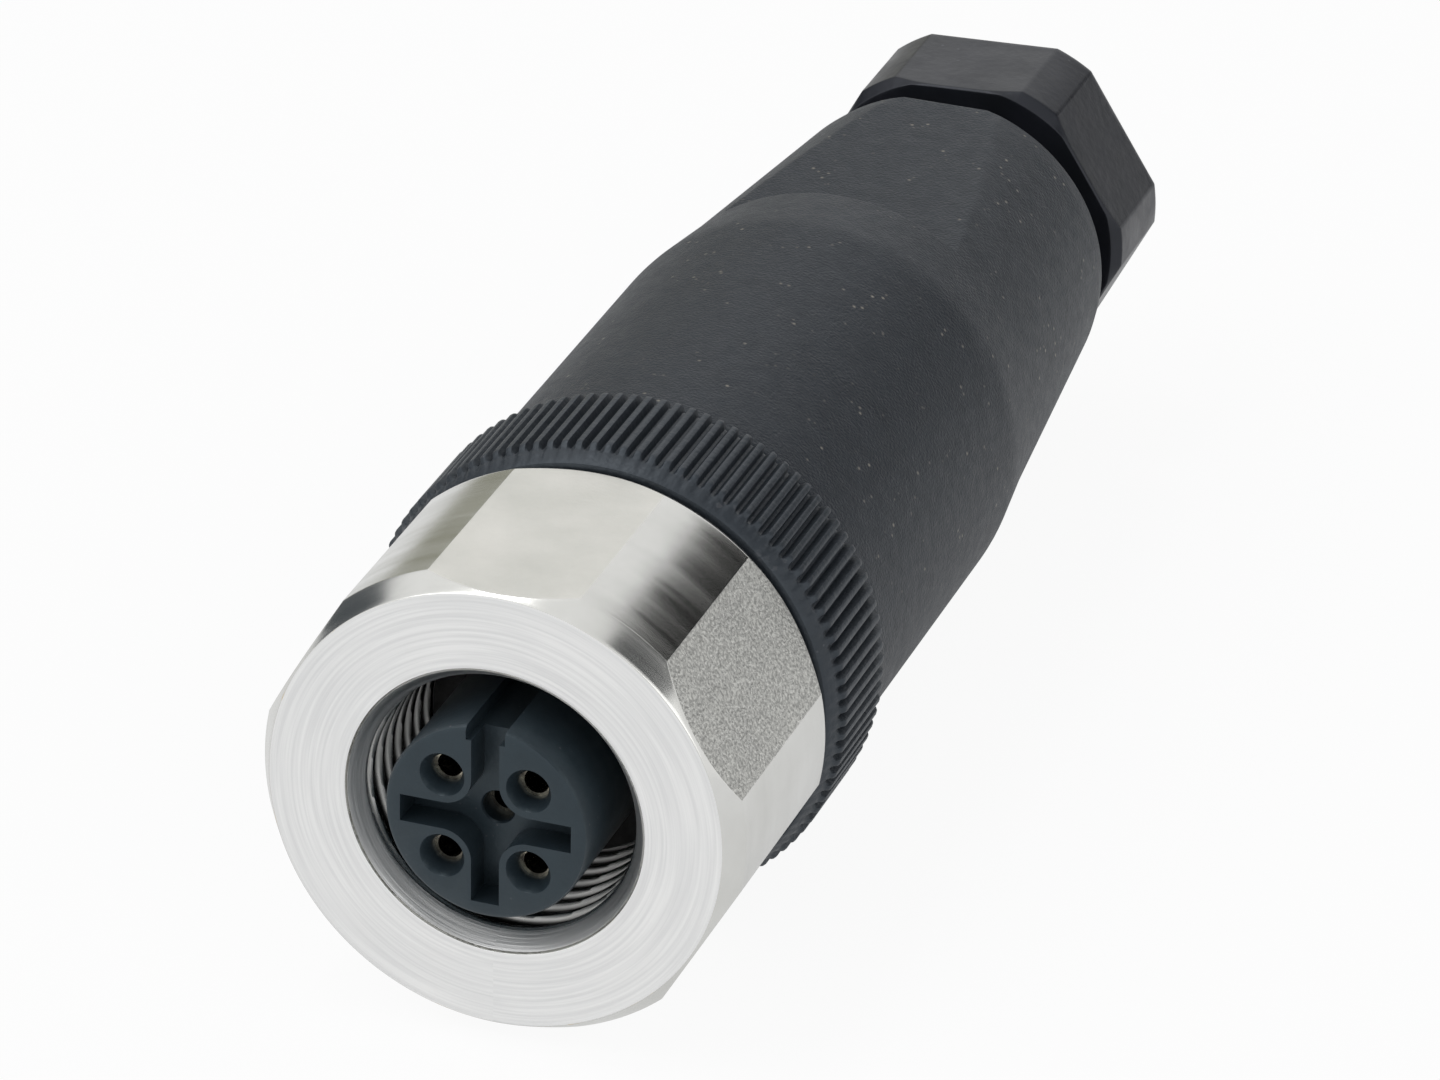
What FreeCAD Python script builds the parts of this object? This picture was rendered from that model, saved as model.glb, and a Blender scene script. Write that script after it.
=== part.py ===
import FreeCAD, Part
import math
import os
import re

import Sketcher
from FreeCAD import Placement, Rotation, Vector

# A five pole M12 socket connector that is wired in the field, 63 mm long.
# The connector's axis is +Y, from the mating side to the cable side, and +Z is the key.
# The origin is on the axis in the front face of the coupling nut.

os.makedirs("parts", exist_ok=True)
doc = FreeCAD.newDocument("m12_connector")
sheet = doc.addObject("Spreadsheet::Sheet", "sizes")

SIZES = {
    # coupling nut, with an M12 x 1 inner thread
    "nut_radius": 9.9,
    "nut_across_flats": 18.8,
    "nut_length": 11.1,
    "nut_face_radius": 9.3,
    "nut_bevel": 1.0,
    "thread_minor_radius": 5.45,
    "mouth_radius": 6.1,
    "mouth_depth": 0.6,
    "lip_radius": 4.98,
    "lip_start": 9.75,
    # contact carrier
    "carrier_face": -0.9,
    "carrier_radius": 4.15,
    "carrier_bevel": 0.25,
    "carrier_end": 16.0,
    "pin_circle_radius": 2.5,
    "countersink_radius": 0.92,
    "countersink_depth": 0.45,
    "throat_radius": 0.66,
    "recess_depth": 1.4,
    "slot_width": 1.15,
    "slot_reach": 3.5,
    "key_width": 1.6,
    "key_floor": 3.5,
    "key_length": 7.0,
    # bush that holds the carrier and keeps the coupling nut on
    "bush_bore_radius": 4.17,
    "flange_start": 8.4,
    "flange_end": 9.6,
    "flange_radius": 5.3,
    "bush_radius": 4.9,
    # front seal on the carrier
    "front_seal_section": 0.6,
    # knurled grip ring with its threaded spigot
    "ring_front": 11.3,
    "ring_rear": 17.1,
    "ring_radius": 10.05,
    "ring_front_radius": 9.45,
    "ring_bevel_end": 11.85,
    "knurl_start": 12.05,
    "ring_bore_radius": 4.92,
    "ring_web_end": 13.0,
    "knurl_teeth": 102,
    "knurl_depth": 0.3,
    "knurl_width": 0.46,
    "spigot_radius": 7.6,
    "spigot_end": 23.0,
    "seal_groove_front": 17.75,
    "seal_groove_rear": 19.05,
    "seal_groove_radius": 6.42,
    # terminal block, held in the grip ring
    "block_stem_radius": 5.58,
    "stem_bore_radius": 5.6,
    "tower_radius": 6.3,
    "tower_end": 30.4,
    "bay_front": 24.4,
    "bay_rear": 29.6,
    "bay_width": 3.6,
    "bay_floor": 2.1,
    "rod_groove": 1.15,
    "wire_hole_radius": 1.2,
    # socket contacts and their screw terminals
    "socket_front": 0.0,
    "centre_socket_front": 1.4,
    "socket_depth": 6.5,
    "socket_bore_radius": 0.52,
    "rod_radius": 0.78,
    "rod_overlap": 1.0,
    "rod_hole_radius": 0.8,
    "terminal_front": 24.45,
    "terminal_rear": 29.55,
    "terminal_width": 3.3,
    "terminal_offset": 1.5,
    "centre_terminal_front": 31.2,
    "centre_terminal_rear": 36.0,
    "wire_bore_radius": 0.95,
    "wire_bore_depth": 3.9,
    "screw_station": 27.2,
    "centre_screw_station": 33.4,
    "screw_radius": 0.78,
    "screw_hole_radius": 0.82,
    "screw_tip": 0.7,
    "screw_top": 2.0,
    "screw_slot_width": 0.35,
    "screw_slot_depth": 0.4,
    "seat_gap": 0.02,
    # seal between the grip ring and the sleeve
    "sleeve_seal_section": 0.6,
    # sleeve, with two wrench flats on its tapered end
    "sleeve_front": 17.3,
    "sleeve_radius": 9.35,
    "sleeve_shoulder": 35.6,
    "taper_start": 39.75,
    "taper_start_radius": 8.83,
    "sleeve_land": 52.8,
    "sleeve_land_radius": 7.6,
    "sleeve_rear": 53.9,
    "sleeve_rear_radius": 7.4,
    "sleeve_bore_radius": 7.68,
    "chamber_end": 38.2,
    "stop_radius": 3.4,
    "seat_start": 39.4,
    "seat_radius": 5.7,
    "seat_end": 48.2,
    "gland_thread_radius": 5.98,
    "wrench_flat": 7.15,
    # gland seal, clamp cage and thrust washer
    "gland_radius": 5.62,
    "seal_rear": 44.0,
    "seal_bore_radius": 3.05,
    "cage_rear": 47.9,
    "cage_bore_radius": 3.6,
    "cage_mouth_radius": 4.75,
    "cage_cone_end": 45.6,
    "cage_slots": 8,
    "cage_slot_width": 0.8,
    "cage_slot_end": 46.9,
    "washer_front": 49.4,
    "washer_rear": 50.2,
    "gland_bore_radius": 3.25,
    # pressing screw
    "screw_shank_radius": 5.9,
    "hexagon_front": 56.1,
    "hexagon_rear": 62.0,
    "hexagon_radius": 7.5,
    "hexagon_across_flats": 13.8,
    "hexagon_bevel": 0.35,
    "gland_mouth_radius": 3.75,
    "gland_mouth_depth": 0.7,
    "hexagon_turn": -2.5,
    # how far a cut reaches past the surface that it opens
    "margin": 1.0,
}
FIRST_POLE = 45
POLES = {1: 315, 2: 45, 3: 135, 4: 225}
for row, (alias, size) in enumerate(SIZES.items(), start=1):
    sheet.set("A%d" % row, alias.replace("_", " "))
    sheet.set("B%d" % row, str(size))
    sheet.setAlias("B%d" % row, alias)
doc.recompute()


# Helpers for sheet sizes, sketches and features

def bound(text):
    """The same formula with each name read from the sheet."""
    return re.sub(r"[a-z][a-z_]*", lambda word: read_name(word.group(0)), text)


def read_name(word):
    return "sizes." + word if word in SIZES else word


def value(text):
    return float(sheet.evalExpression(text))


def new_body(label):
    body = doc.addObject("PartDesign::Body", label)
    body.Label = label
    return body


def origin(body, role):
    return next(item for item in body.Origin.OriginFeatures if item.Role == role)


def new_sketch(body, name, role, offset=None):
    """A sketch on one of the body's own planes, moved along its normal by a formula."""
    sketch = body.newObject("Sketcher::SketchObject", name)
    sketch.AttachmentSupport = (origin(body, role), "")
    sketch.MapMode = "FlatFace"
    if offset is not None:
        sketch.setExpression("AttachmentOffset.Base.z", bound(offset))
    return sketch


def hold(sketch, kind, axis, edge, end, text):
    """Keeps one coordinate of a point at a formula of the sheet."""
    size = value(text)
    if abs(size) < 1e-9:
        sketch.addConstraint(Sketcher.Constraint("PointOnObject", edge, end, axis))
        return
    if size > 0:
        index = sketch.addConstraint(Sketcher.Constraint(kind, -1, 1, edge, end, size))
        sketch.setExpression("Constraints[%d]" % index, bound(text))
    else:
        index = sketch.addConstraint(Sketcher.Constraint(kind, edge, end, -1, 1, -size))
        sketch.setExpression("Constraints[%d]" % index, "-(%s)" % bound(text))


def outline(sketch, corners):
    """A closed outline of straight edges through corners given as formulas."""
    first = sketch.GeometryCount
    points = [Vector(value(across), value(along), 0) for across, along in corners]
    for here, there in zip(points, points[1:] + points[:1]):
        sketch.addGeometry(Part.LineSegment(here, there), False)
    last = sketch.GeometryCount
    for edge in range(first, last):
        following = edge + 1 if edge + 1 < last else first
        sketch.addConstraint(Sketcher.Constraint("Coincident", edge, 2, following, 1))
    for edge, (across, along) in enumerate(corners, start=first):
        hold(sketch, "DistanceX", -2, edge, 1, across)
        hold(sketch, "DistanceY", -1, edge, 1, along)


def circle(sketch, radius, across="0", along="0"):
    centre = Vector(value(across), value(along), 0)
    edge = sketch.addGeometry(Part.Circle(centre, Vector(0, 0, 1), value(radius)), False)
    hold(sketch, "DistanceX", -2, edge, 3, across)
    hold(sketch, "DistanceY", -1, edge, 3, along)
    index = sketch.addConstraint(Sketcher.Constraint("Radius", edge, value(radius)))
    sketch.setExpression("Constraints[%d]" % index, bound(radius))


def turned(body, name, corners):
    """Turns an outline of (place along Y, radius) corners about the Y axis."""
    sketch = new_sketch(body, name + "_outline", "YZ_Plane")
    outline(sketch, corners)
    solid = body.newObject("PartDesign::Revolution", name)
    solid.Profile = sketch
    solid.ReferenceAxis = (sketch, ["H_Axis"])
    solid.Angle = 360
    sketch.Visibility = False
    return solid


def bored(body, name, corners, centre=("0", "0")):
    """Turns an outline out of the body, about the line parallel to Y through centre (X, Z)."""
    sketch = new_sketch(body, name + "_outline", "YZ_Plane", centre[0])
    moved = [(along, "(%s) + (%s)" % (centre[1], radius)) for along, radius in corners]
    outline(sketch, moved)
    middle = sketch.GeometryCount
    start, end = value(corners[0][0]), value(corners[1][0])
    height = value(centre[1])
    sketch.addGeometry(Part.LineSegment(Vector(start, height, 0), Vector(end, height, 0)), True)
    sketch.addConstraint(Sketcher.Constraint("Horizontal", middle))
    hold(sketch, "DistanceY", -1, middle, 1, centre[1])
    hold(sketch, "DistanceX", -2, middle, 1, corners[0][0])
    hold(sketch, "DistanceX", -2, middle, 2, corners[1][0])
    groove = body.newObject("PartDesign::Groove", name)
    groove.Profile = sketch
    groove.ReferenceAxis = (sketch, ["Axis0"])
    groove.Angle = 360
    sketch.Visibility = False
    return groove


def drilled(body, name, start, end, radius, height="0"):
    """Cuts a round hole parallel to Y, above the Y axis by height."""
    return bored(body, name, [(start, "0"), (end, "0"), (end, radius), (start, radius)], ("0", height))


def box_outline(sketch, left, right, low, high):
    outline(sketch, [(left, low), (right, low), (right, high), (left, high)])


def drawn_across(body, kind, name, draw, start, length):
    """Pads or cuts a shape drawn in the XZ plane, from start towards +Y."""
    sketch = new_sketch(body, name + "_outline", "XZ_Plane", "-(%s)" % start)
    draw(sketch)
    feature = body.newObject(kind, name)
    feature.Profile = sketch
    feature.setExpression("Length", bound(length))
    feature.Reversed = kind == "PartDesign::Pad"
    sketch.Visibility = False
    return feature


def cut_along(body, name, draw, start, length):
    return drawn_across(body, "PartDesign::Pocket", name, draw, start, length)


def cut_down(body, name, radius, station, top, depth):
    """Cuts a round hole along -Z, on the Y axis at station, from the height top."""
    sketch = new_sketch(body, name + "_outline", "XY_Plane", top)
    circle(sketch, radius, "0", station)
    pocket = body.newObject("PartDesign::Pocket", name)
    pocket.Profile = sketch
    pocket.setExpression("Length", bound(depth))
    sketch.Visibility = False
    return pocket


def around(body, name, feature, count):
    """Repeats a feature about the Y axis."""
    doc.recompute()
    pattern = body.newObject("PartDesign::PolarPattern", name)
    pattern.Originals = [feature]
    pattern.Axis = (origin(body, "Y_Axis"), [""])
    pattern.Angle = 360
    pattern.setExpression("Occurrences", bound(count))
    body.Tip = pattern
    return pattern


def flats(body, name, across_flats, reach, start, length):
    """Six wrench flats, the first of them facing +Z."""
    edges = ["-" + reach, reach, across_flats + " / 2", reach + " + margin"]
    pocket = cut_along(body, name, lambda sketch: box_outline(sketch, *edges), start, length)
    return around(body, name + "_pattern", pocket, "6")


# Coupling nut

def make_coupling_nut():
    body = new_body("coupling_nut")
    turned(body, "nut_turning", [
        ("0", "mouth_radius"),
        ("0", "nut_face_radius"),
        ("nut_bevel", "nut_radius"),
        ("nut_length - nut_bevel", "nut_radius"),
        ("nut_length", "nut_face_radius"),
        ("nut_length", "lip_radius"),
        ("lip_start", "lip_radius"),
        ("lip_start", "thread_minor_radius"),
        ("mouth_depth", "thread_minor_radius"),
    ])
    flats(body, "nut_flat", "nut_across_flats", "nut_radius", "0", "nut_length")
    return body


# Contact carrier, with the key slot, the recessed cross and five contact holes

def contact_hole(body, name, face, front, centre):
    return bored(body, name, [
        (face, "0"),
        ("carrier_end", "0"),
        ("carrier_end", "rod_hole_radius"),
        (front, "rod_hole_radius"),
        (front, "throat_radius"),
        (face + " + countersink_depth", "throat_radius"),
        (face, "countersink_radius"),
    ], centre)


def middle_outline(sketch):
    """The middle of the cross, with corners that run round the four outer contact holes."""
    near, far = "slot_width / 2", "pin_circle_radius / sqrt(2)"
    for quarter, (side, rise) in enumerate([("", ""), ("-", ""), ("-", "-"), ("", "-")]):
        centre = Vector(value(side + far), value(rise + far), 0)
        bend = Part.Circle(centre, Vector(0, 0, 1), value(far + " - " + near))
        first = math.radians(180 + 90 * quarter)
        arc = sketch.addGeometry(Part.ArcOfCircle(bend, first, first + math.radians(90)), False)
        ends = [(side + near, rise + far), (side + far, rise + near)]
        if side != rise:
            ends.reverse()
        for end, (across, along) in enumerate(ends, start=1):
            hold(sketch, "DistanceX", -2, arc, end, across)
            hold(sketch, "DistanceY", -1, arc, end, along)
        hold(sketch, "DistanceX", -2, arc, 3, side + far)
    for arc in range(4):
        following = (arc + 1) % 4
        start = sketch.getPoint(arc, 1)
        edge = sketch.addGeometry(Part.LineSegment(start, sketch.getPoint(following, 2)), False)
        sketch.addConstraint(Sketcher.Constraint("Coincident", edge, 1, arc, 1))
        sketch.addConstraint(Sketcher.Constraint("Coincident", edge, 2, following, 2))


def make_contact_carrier():
    body = new_body("contact_carrier")
    turned(body, "carrier_turning", [
        ("carrier_face", "0"),
        ("carrier_face", "carrier_radius - carrier_bevel"),
        ("carrier_face + carrier_bevel", "carrier_radius"),
        ("carrier_end", "carrier_radius"),
        ("carrier_end", "0"),
    ])
    half = "slot_width / 2"
    arms = {
        "level_slot": ("-slot_reach", "slot_reach", "-" + half, half),
        "lower_slot": ("-" + half, half, "-slot_reach", "0"),
        "key_slot": ("-" + half, half, "0", "carrier_radius"),
    }
    for name, edges in arms.items():
        draw = lambda sketch, edges=edges: box_outline(sketch, *edges)
        cut_along(body, name, draw, "carrier_face", "recess_depth")
    cut_along(body, "middle_recess", middle_outline, "carrier_face", "recess_depth")
    edges = ("-key_width / 2", "key_width / 2", "key_floor", "carrier_radius + margin")
    cut_along(body, "key_way", lambda sketch: box_outline(sketch, *edges), "carrier_face", "key_length")
    contact_hole(body, "middle_hole", "carrier_face + recess_depth", "centre_socket_front", ("0", "0"))
    diagonal = "pin_circle_radius / sqrt(2)"
    hole = contact_hole(body, "outer_hole", "carrier_face", "socket_front", (diagonal, diagonal))
    around(body, "outer_holes", hole, "4")
    return body


# Bush round the carrier

def make_carrier_bush():
    body = new_body("carrier_bush")
    turned(body, "bush_turning", [
        ("flange_start", "bush_bore_radius"),
        ("flange_start", "flange_radius"),
        ("flange_end", "flange_radius"),
        ("flange_end", "bush_radius"),
        ("carrier_end", "bush_radius"),
        ("carrier_end", "bush_bore_radius"),
    ])
    return body


# Seals, squeezed square in their seats

def make_seal(name, station, inner_radius, section):
    body = new_body(name)
    turned(body, name + "_ring", [
        ("%s - %s" % (station, section), inner_radius),
        ("%s - %s" % (station, section), "%s + 2 * %s" % (inner_radius, section)),
        ("%s + %s" % (station, section), "%s + 2 * %s" % (inner_radius, section)),
        ("%s + %s" % (station, section), inner_radius),
    ])
    return body


# Grip ring: knurled collar and threaded spigot in one moulding

def make_grip_ring():
    body = new_body("grip_ring")
    turned(body, "ring_turning", [
        ("ring_front", "ring_bore_radius"),
        ("ring_front", "ring_front_radius"),
        ("ring_bevel_end", "ring_radius"),
        ("ring_rear", "ring_radius"),
        ("ring_rear", "spigot_radius"),
        ("seal_groove_front", "spigot_radius"),
        ("seal_groove_front", "seal_groove_radius"),
        ("seal_groove_rear", "seal_groove_radius"),
        ("seal_groove_rear", "spigot_radius"),
        ("spigot_end", "spigot_radius"),
        ("spigot_end", "stem_bore_radius"),
        ("ring_web_end", "stem_bore_radius"),
        ("ring_web_end", "ring_bore_radius"),
    ])
    half = "knurl_width / 2"
    root = "ring_radius - knurl_depth"
    vee = [("0", root), (half, "ring_radius"), ("-" + half, "ring_radius")]
    length = "ring_rear - knurl_start"
    groove = cut_along(body, "knurl_groove", lambda sketch: outline(sketch, vee), "knurl_start", length)
    around(body, "knurl", groove, "knurl_teeth")
    return body


# Terminal block, with a bay and a wire hole for each outer contact

def make_terminal_block():
    body = new_body("terminal_block")
    turned(body, "block_turning", [
        ("ring_web_end", "ring_bore_radius"),
        ("ring_web_end", "block_stem_radius"),
        ("spigot_end", "block_stem_radius"),
        ("spigot_end", "tower_radius"),
        ("tower_end", "tower_radius"),
        ("tower_end", "0"),
        ("carrier_end", "0"),
        ("carrier_end", "ring_bore_radius"),
    ])
    half = "bay_width / 2"
    bay = cut_along(
        body, "terminal_bay",
        lambda sketch: box_outline(sketch, "-" + half, half, "bay_floor", "tower_radius + margin"),
        "bay_front", "bay_rear - bay_front")
    around(body, "terminal_bays", bay, "4")
    rod_end = "bay_front + rod_groove"
    rod_hole = drilled(body, "rod_hole", "carrier_end", rod_end, "rod_hole_radius", "pin_circle_radius")
    around(body, "rod_holes", rod_hole, "4")
    reach = "pin_circle_radius + terminal_offset"
    wire_hole = drilled(body, "wire_hole", "bay_rear", "tower_end", "wire_hole_radius", reach)
    around(body, "wire_holes", wire_hole, "4")
    drilled(body, "middle_rod_hole", "carrier_end", "tower_end", "rod_hole_radius")
    body.Placement = Placement(Vector(), Rotation(Vector(0, 1, 0), FIRST_POLE))
    return body


# Socket contacts, each turned with its screw terminal, and the terminal screws

def pole_placement(angle):
    """A place on the pin circle, turned so that the piece's +Z points outwards."""
    turn = Rotation(Vector(0, 1, 0), angle)
    return Placement(turn.multVec(Vector(0, 0, value("pin_circle_radius"))), turn)


def make_contact(number, front, block_front, block_rear, offset, station, placement):
    name = "contact_%d" % number
    body = new_body(name)
    turned(body, name + "_turning", [
        (front, "socket_bore_radius"),
        (front, "rod_radius"),
        (block_front + " + rod_overlap", "rod_radius"),
        (block_front + " + rod_overlap", "0"),
        (front + " + socket_depth", "0"),
        (front + " + socket_depth", "socket_bore_radius"),
    ])
    half = "terminal_width / 2"
    drawn_across(
        body, "PartDesign::Pad", name + "_block",
        lambda sketch: box_outline(sketch, "-" + half, half, offset + " - " + half, offset + " + " + half),
        block_front, block_rear + " - " + block_front)
    bore_front = block_rear + " - wire_bore_depth"
    drilled(body, name + "_wire_bore", bore_front, block_rear, "wire_bore_radius", offset)
    cut_down(body, name + "_screw_hole", "screw_hole_radius", station, offset + " + " + half, half)
    body.Placement = placement
    return body


def make_terminal_screw(number, offset, station, placement):
    name = "terminal_screw_%d" % number
    body = new_body(name)
    sketch = new_sketch(body, name + "_outline", "XY_Plane", offset + " + screw_tip")
    circle(sketch, "screw_radius", "0", station)
    shank = body.newObject("PartDesign::Pad", name + "_shank")
    shank.Profile = sketch
    shank.setExpression("Length", bound("screw_top - screw_tip"))
    sketch.Visibility = False
    sketch = new_sketch(body, name + "_slot_outline", "XY_Plane", offset + " + screw_top")
    half = "screw_slot_width / 2"
    reach = "screw_radius + margin"
    box_outline(sketch, "-(%s)" % reach, reach, station + " - " + half, station + " + " + half)
    slot = body.newObject("PartDesign::Pocket", name + "_slot")
    slot.Profile = sketch
    slot.setExpression("Length", bound("screw_slot_depth"))
    sketch.Visibility = False
    body.Placement = placement
    return body


# Sleeve with two wrench flats

def make_sleeve():
    body = new_body("sleeve")
    turned(body, "sleeve_turning", [
        ("sleeve_front", "sleeve_bore_radius"),
        ("sleeve_front", "sleeve_radius"),
        ("sleeve_shoulder", "sleeve_radius"),
        ("taper_start", "taper_start_radius"),
        ("sleeve_land", "sleeve_land_radius"),
        ("sleeve_rear", "sleeve_rear_radius"),
        ("sleeve_rear", "gland_thread_radius"),
        ("seat_end", "gland_thread_radius"),
        ("seat_end", "seat_radius"),
        ("seat_start", "seat_radius"),
        ("seat_start", "stop_radius"),
        ("chamber_end", "stop_radius"),
        ("chamber_end", "sleeve_bore_radius"),
    ])
    flat = cut_along(
        body, "wrench_flat_cut",
        lambda sketch: box_outline(sketch, "-sleeve_radius", "sleeve_radius", "wrench_flat", "sleeve_radius"),
        "taper_start", "sleeve_rear - taper_start")
    around(body, "wrench_flats", flat, "2")
    return body


# Cable gland: seal, clamp cage, thrust washer and pressing screw

def make_gland_seal():
    body = new_body("gland_seal")
    turned(body, "gland_seal_turning", [
        ("seat_start", "seal_bore_radius"),
        ("seat_start", "gland_radius"),
        ("seal_rear", "gland_radius"),
        ("seal_rear", "seal_bore_radius"),
    ])
    return body


def make_clamp_cage():
    body = new_body("clamp_cage")
    turned(body, "cage_turning", [
        ("seal_rear", "cage_mouth_radius"),
        ("seal_rear", "gland_radius"),
        ("cage_rear", "gland_radius"),
        ("cage_rear", "cage_bore_radius"),
        ("cage_cone_end", "cage_bore_radius"),
    ])
    half = "cage_slot_width / 2"
    slot = cut_along(
        body, "cage_slot",
        lambda sketch: box_outline(sketch, "-" + half, half, "0", "gland_radius + 1"),
        "seal_rear", "cage_slot_end - seal_rear")
    around(body, "cage_slots_pattern", slot, "cage_slots")
    return body


def make_thrust_washer():
    body = new_body("thrust_washer")
    turned(body, "washer_turning", [
        ("washer_front", "gland_bore_radius"),
        ("washer_front", "gland_radius"),
        ("washer_rear", "gland_radius"),
        ("washer_rear", "gland_bore_radius"),
    ])
    return body


def make_pressing_screw():
    body = new_body("pressing_screw")
    turned(body, "pressing_screw_turning", [
        ("washer_rear + seat_gap", "gland_bore_radius"),
        ("washer_rear + seat_gap", "screw_shank_radius"),
        ("hexagon_front", "screw_shank_radius"),
        ("hexagon_front", "hexagon_radius"),
        ("hexagon_rear - hexagon_bevel", "hexagon_radius"),
        ("hexagon_rear", "hexagon_radius - hexagon_bevel"),
        ("hexagon_rear", "gland_mouth_radius"),
        ("hexagon_rear - gland_mouth_depth", "gland_bore_radius"),
    ])
    length = "hexagon_rear - hexagon_front"
    flats(body, "hexagon_flat", "hexagon_across_flats", "hexagon_radius", "hexagon_front", length)
    body.Placement = Placement(Vector(), Rotation(Vector(0, 1, 0), value("hexagon_turn")))
    return body


# The assembly

front_seal_station = "flange_start - front_seal_section - seat_gap"
sleeve_seal_station = "(seal_groove_front + seal_groove_rear) / 2"
pieces = [
    make_coupling_nut(),
    make_contact_carrier(),
    make_carrier_bush(),
    make_seal("front_seal", front_seal_station, "carrier_radius + seat_gap", "front_seal_section"),
    make_grip_ring(),
    make_terminal_block(),
    make_seal("sleeve_seal", sleeve_seal_station, "seal_groove_radius + seat_gap", "sleeve_seal_section"),
    make_sleeve(),
    make_gland_seal(),
    make_clamp_cage(),
    make_thrust_washer(),
    make_pressing_screw(),
]
outer = ("socket_front", "terminal_front", "terminal_rear", "terminal_offset", "screw_station")
for pole, angle in POLES.items():
    pieces.append(make_contact(pole, *outer, pole_placement(angle)))
    pieces.append(make_terminal_screw(pole, *outer[3:], pole_placement(angle)))
centre = ("centre_socket_front", "centre_terminal_front", "centre_terminal_rear", "0", "centre_screw_station")
pieces.append(make_contact(5, *centre, Placement()))
pieces.append(make_terminal_screw(5, *centre[3:], Placement()))

doc.recompute()
faults = [item.Name for item in doc.Objects if {"Invalid", "Error"} & set(item.State)]
faults += [piece.Label for piece in pieces if piece.Shape.isNull() or not piece.Shape.isValid()]
faults += [piece.Label for piece in pieces if len(piece.Shape.Solids) != 1]
if faults:
    raise RuntimeError("not built: %s" % sorted(set(faults)))
for piece in pieces:
    piece.Shape.exportStep(os.path.join("parts", piece.Label + ".step"))
    print("%-18s %9.2f mm3" % (piece.Label, piece.Shape.Volume))
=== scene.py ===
import math

import bmesh
import bpy
import numpy as np
from mathutils import Matrix, Vector


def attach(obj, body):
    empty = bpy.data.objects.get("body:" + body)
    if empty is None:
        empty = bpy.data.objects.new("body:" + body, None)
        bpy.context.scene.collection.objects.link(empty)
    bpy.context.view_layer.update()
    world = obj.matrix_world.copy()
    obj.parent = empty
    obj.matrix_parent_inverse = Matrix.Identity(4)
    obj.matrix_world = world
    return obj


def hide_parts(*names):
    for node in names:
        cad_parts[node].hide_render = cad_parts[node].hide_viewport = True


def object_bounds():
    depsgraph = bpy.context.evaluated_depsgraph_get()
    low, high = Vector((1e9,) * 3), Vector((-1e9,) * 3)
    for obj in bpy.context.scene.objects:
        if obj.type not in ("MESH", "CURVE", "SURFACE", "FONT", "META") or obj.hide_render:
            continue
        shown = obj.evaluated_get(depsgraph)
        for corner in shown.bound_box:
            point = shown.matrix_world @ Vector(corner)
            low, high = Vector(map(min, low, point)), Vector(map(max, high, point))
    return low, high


# A five-pole M12 socket connector that lies on its grip ring.
# The frame has +Y from the mating face to the cable end, and +Z up, at the key.
# The tables give lengths in millimetres along Y and radii from the axis, unless a line says otherwise.
# Angles round the axis are in degrees from +Z towards +X.

MM = 0.001
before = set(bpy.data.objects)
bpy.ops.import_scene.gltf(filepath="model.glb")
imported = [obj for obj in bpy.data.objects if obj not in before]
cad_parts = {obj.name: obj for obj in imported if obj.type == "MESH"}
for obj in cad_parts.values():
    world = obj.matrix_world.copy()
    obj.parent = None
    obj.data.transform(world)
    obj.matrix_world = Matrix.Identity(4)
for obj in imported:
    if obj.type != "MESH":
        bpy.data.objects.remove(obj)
cad_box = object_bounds()

# Camera: angles in degrees, place in millimetres, and the lens and sensor width
AZIMUTH = 19.4627
ELEVATION = 27.5079
ROLL = 1.0647
CAMERA_PLACE = (94.39081, -241.73011, 146.99536)
LENS = 194.92
SENSOR = 36.0
CLIP = (0.01, 20)

# Floor: half its width in metres, its matte white, and how much of its white is glow, as the camera
# sees it and as gloss does
FLOOR_REACH = 3.0
FLOOR_WHITE = 0.9
FLOOR_GLOW_SEEN = 0.93
FLOOR_GLOW_MIRRORED = 0.62

# Light: the strength and colour of the world, and the points in metres that lamps and cards face
AMBIENT = 0.5
AMBIENT_COLOUR = (0.97, 0.98, 1.0)
LAMP_AIM = (0, 0.03, 0)
FLAG_AIM = (0, 0.01, 0)

# Name, place in metres, width and depth in metres, watts
LAMPS = (
    ("key", (-0.35, -0.30, 0.55), (0.4, 0.4), 1.15),
    ("top", (-0.17, 0.0, 0.6), (0.13, 0.13), 0.45),
    ("fill", (0.55, -0.25, 0.30), (0.35, 0.35), 0.35),
)

# Name, place in metres, width and height in metres, shade
FLAGS = (
    ("left_flag", (-0.56, 0.15, 0.17), (0.42, 0.3), (0.075, 0.085, 0.095)),
    ("upper_flag", (0.36, 0.06, 0.42), (0.35, 0.3), (0.05, 0.053, 0.057)),
    ("right_flag", (0.33, 0.5, 0.24), (0.36, 0.42), (0.02, 0.02, 0.02)),
    ("rear_flag", (-0.36, 0.48, 0.04), (0.34, 0.3), (0.32, 0.32, 0.26)),
)

# How much of the grain's own colour a finish with fine grains takes
GRAIN_SHARE = 0.6

# Beside each rounded edge a row of points keeps the edge's wear from spreading over the faces
SUPPORT = 0.12

# Points closer than this become one
MERGED = 0.0004

# How many steps a round piece has in a turn
NUT_STEPS = 288
SPIGOT_STEPS = 200
SLEEVE_STEPS = 360
SCREW_STEPS = 240
BLANK_SIDES = 160
HOLE_SIDES = 48

# Coupling nut. Its flat's figure is the distance from the axis.
NUT_RADIUS = 9.9
NUT_FLAT = 9.4
NUT_FACE_RADIUS = 9.3
NUT_BEVEL = 1.0
NUT_LENGTH = 11.1
NUT_MOUTH_RADIUS = 6.1
NUT_MOUTH_DEPTH = 0.9
LIP_RADIUS = 4.98
LIP_START = 9.75

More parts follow.
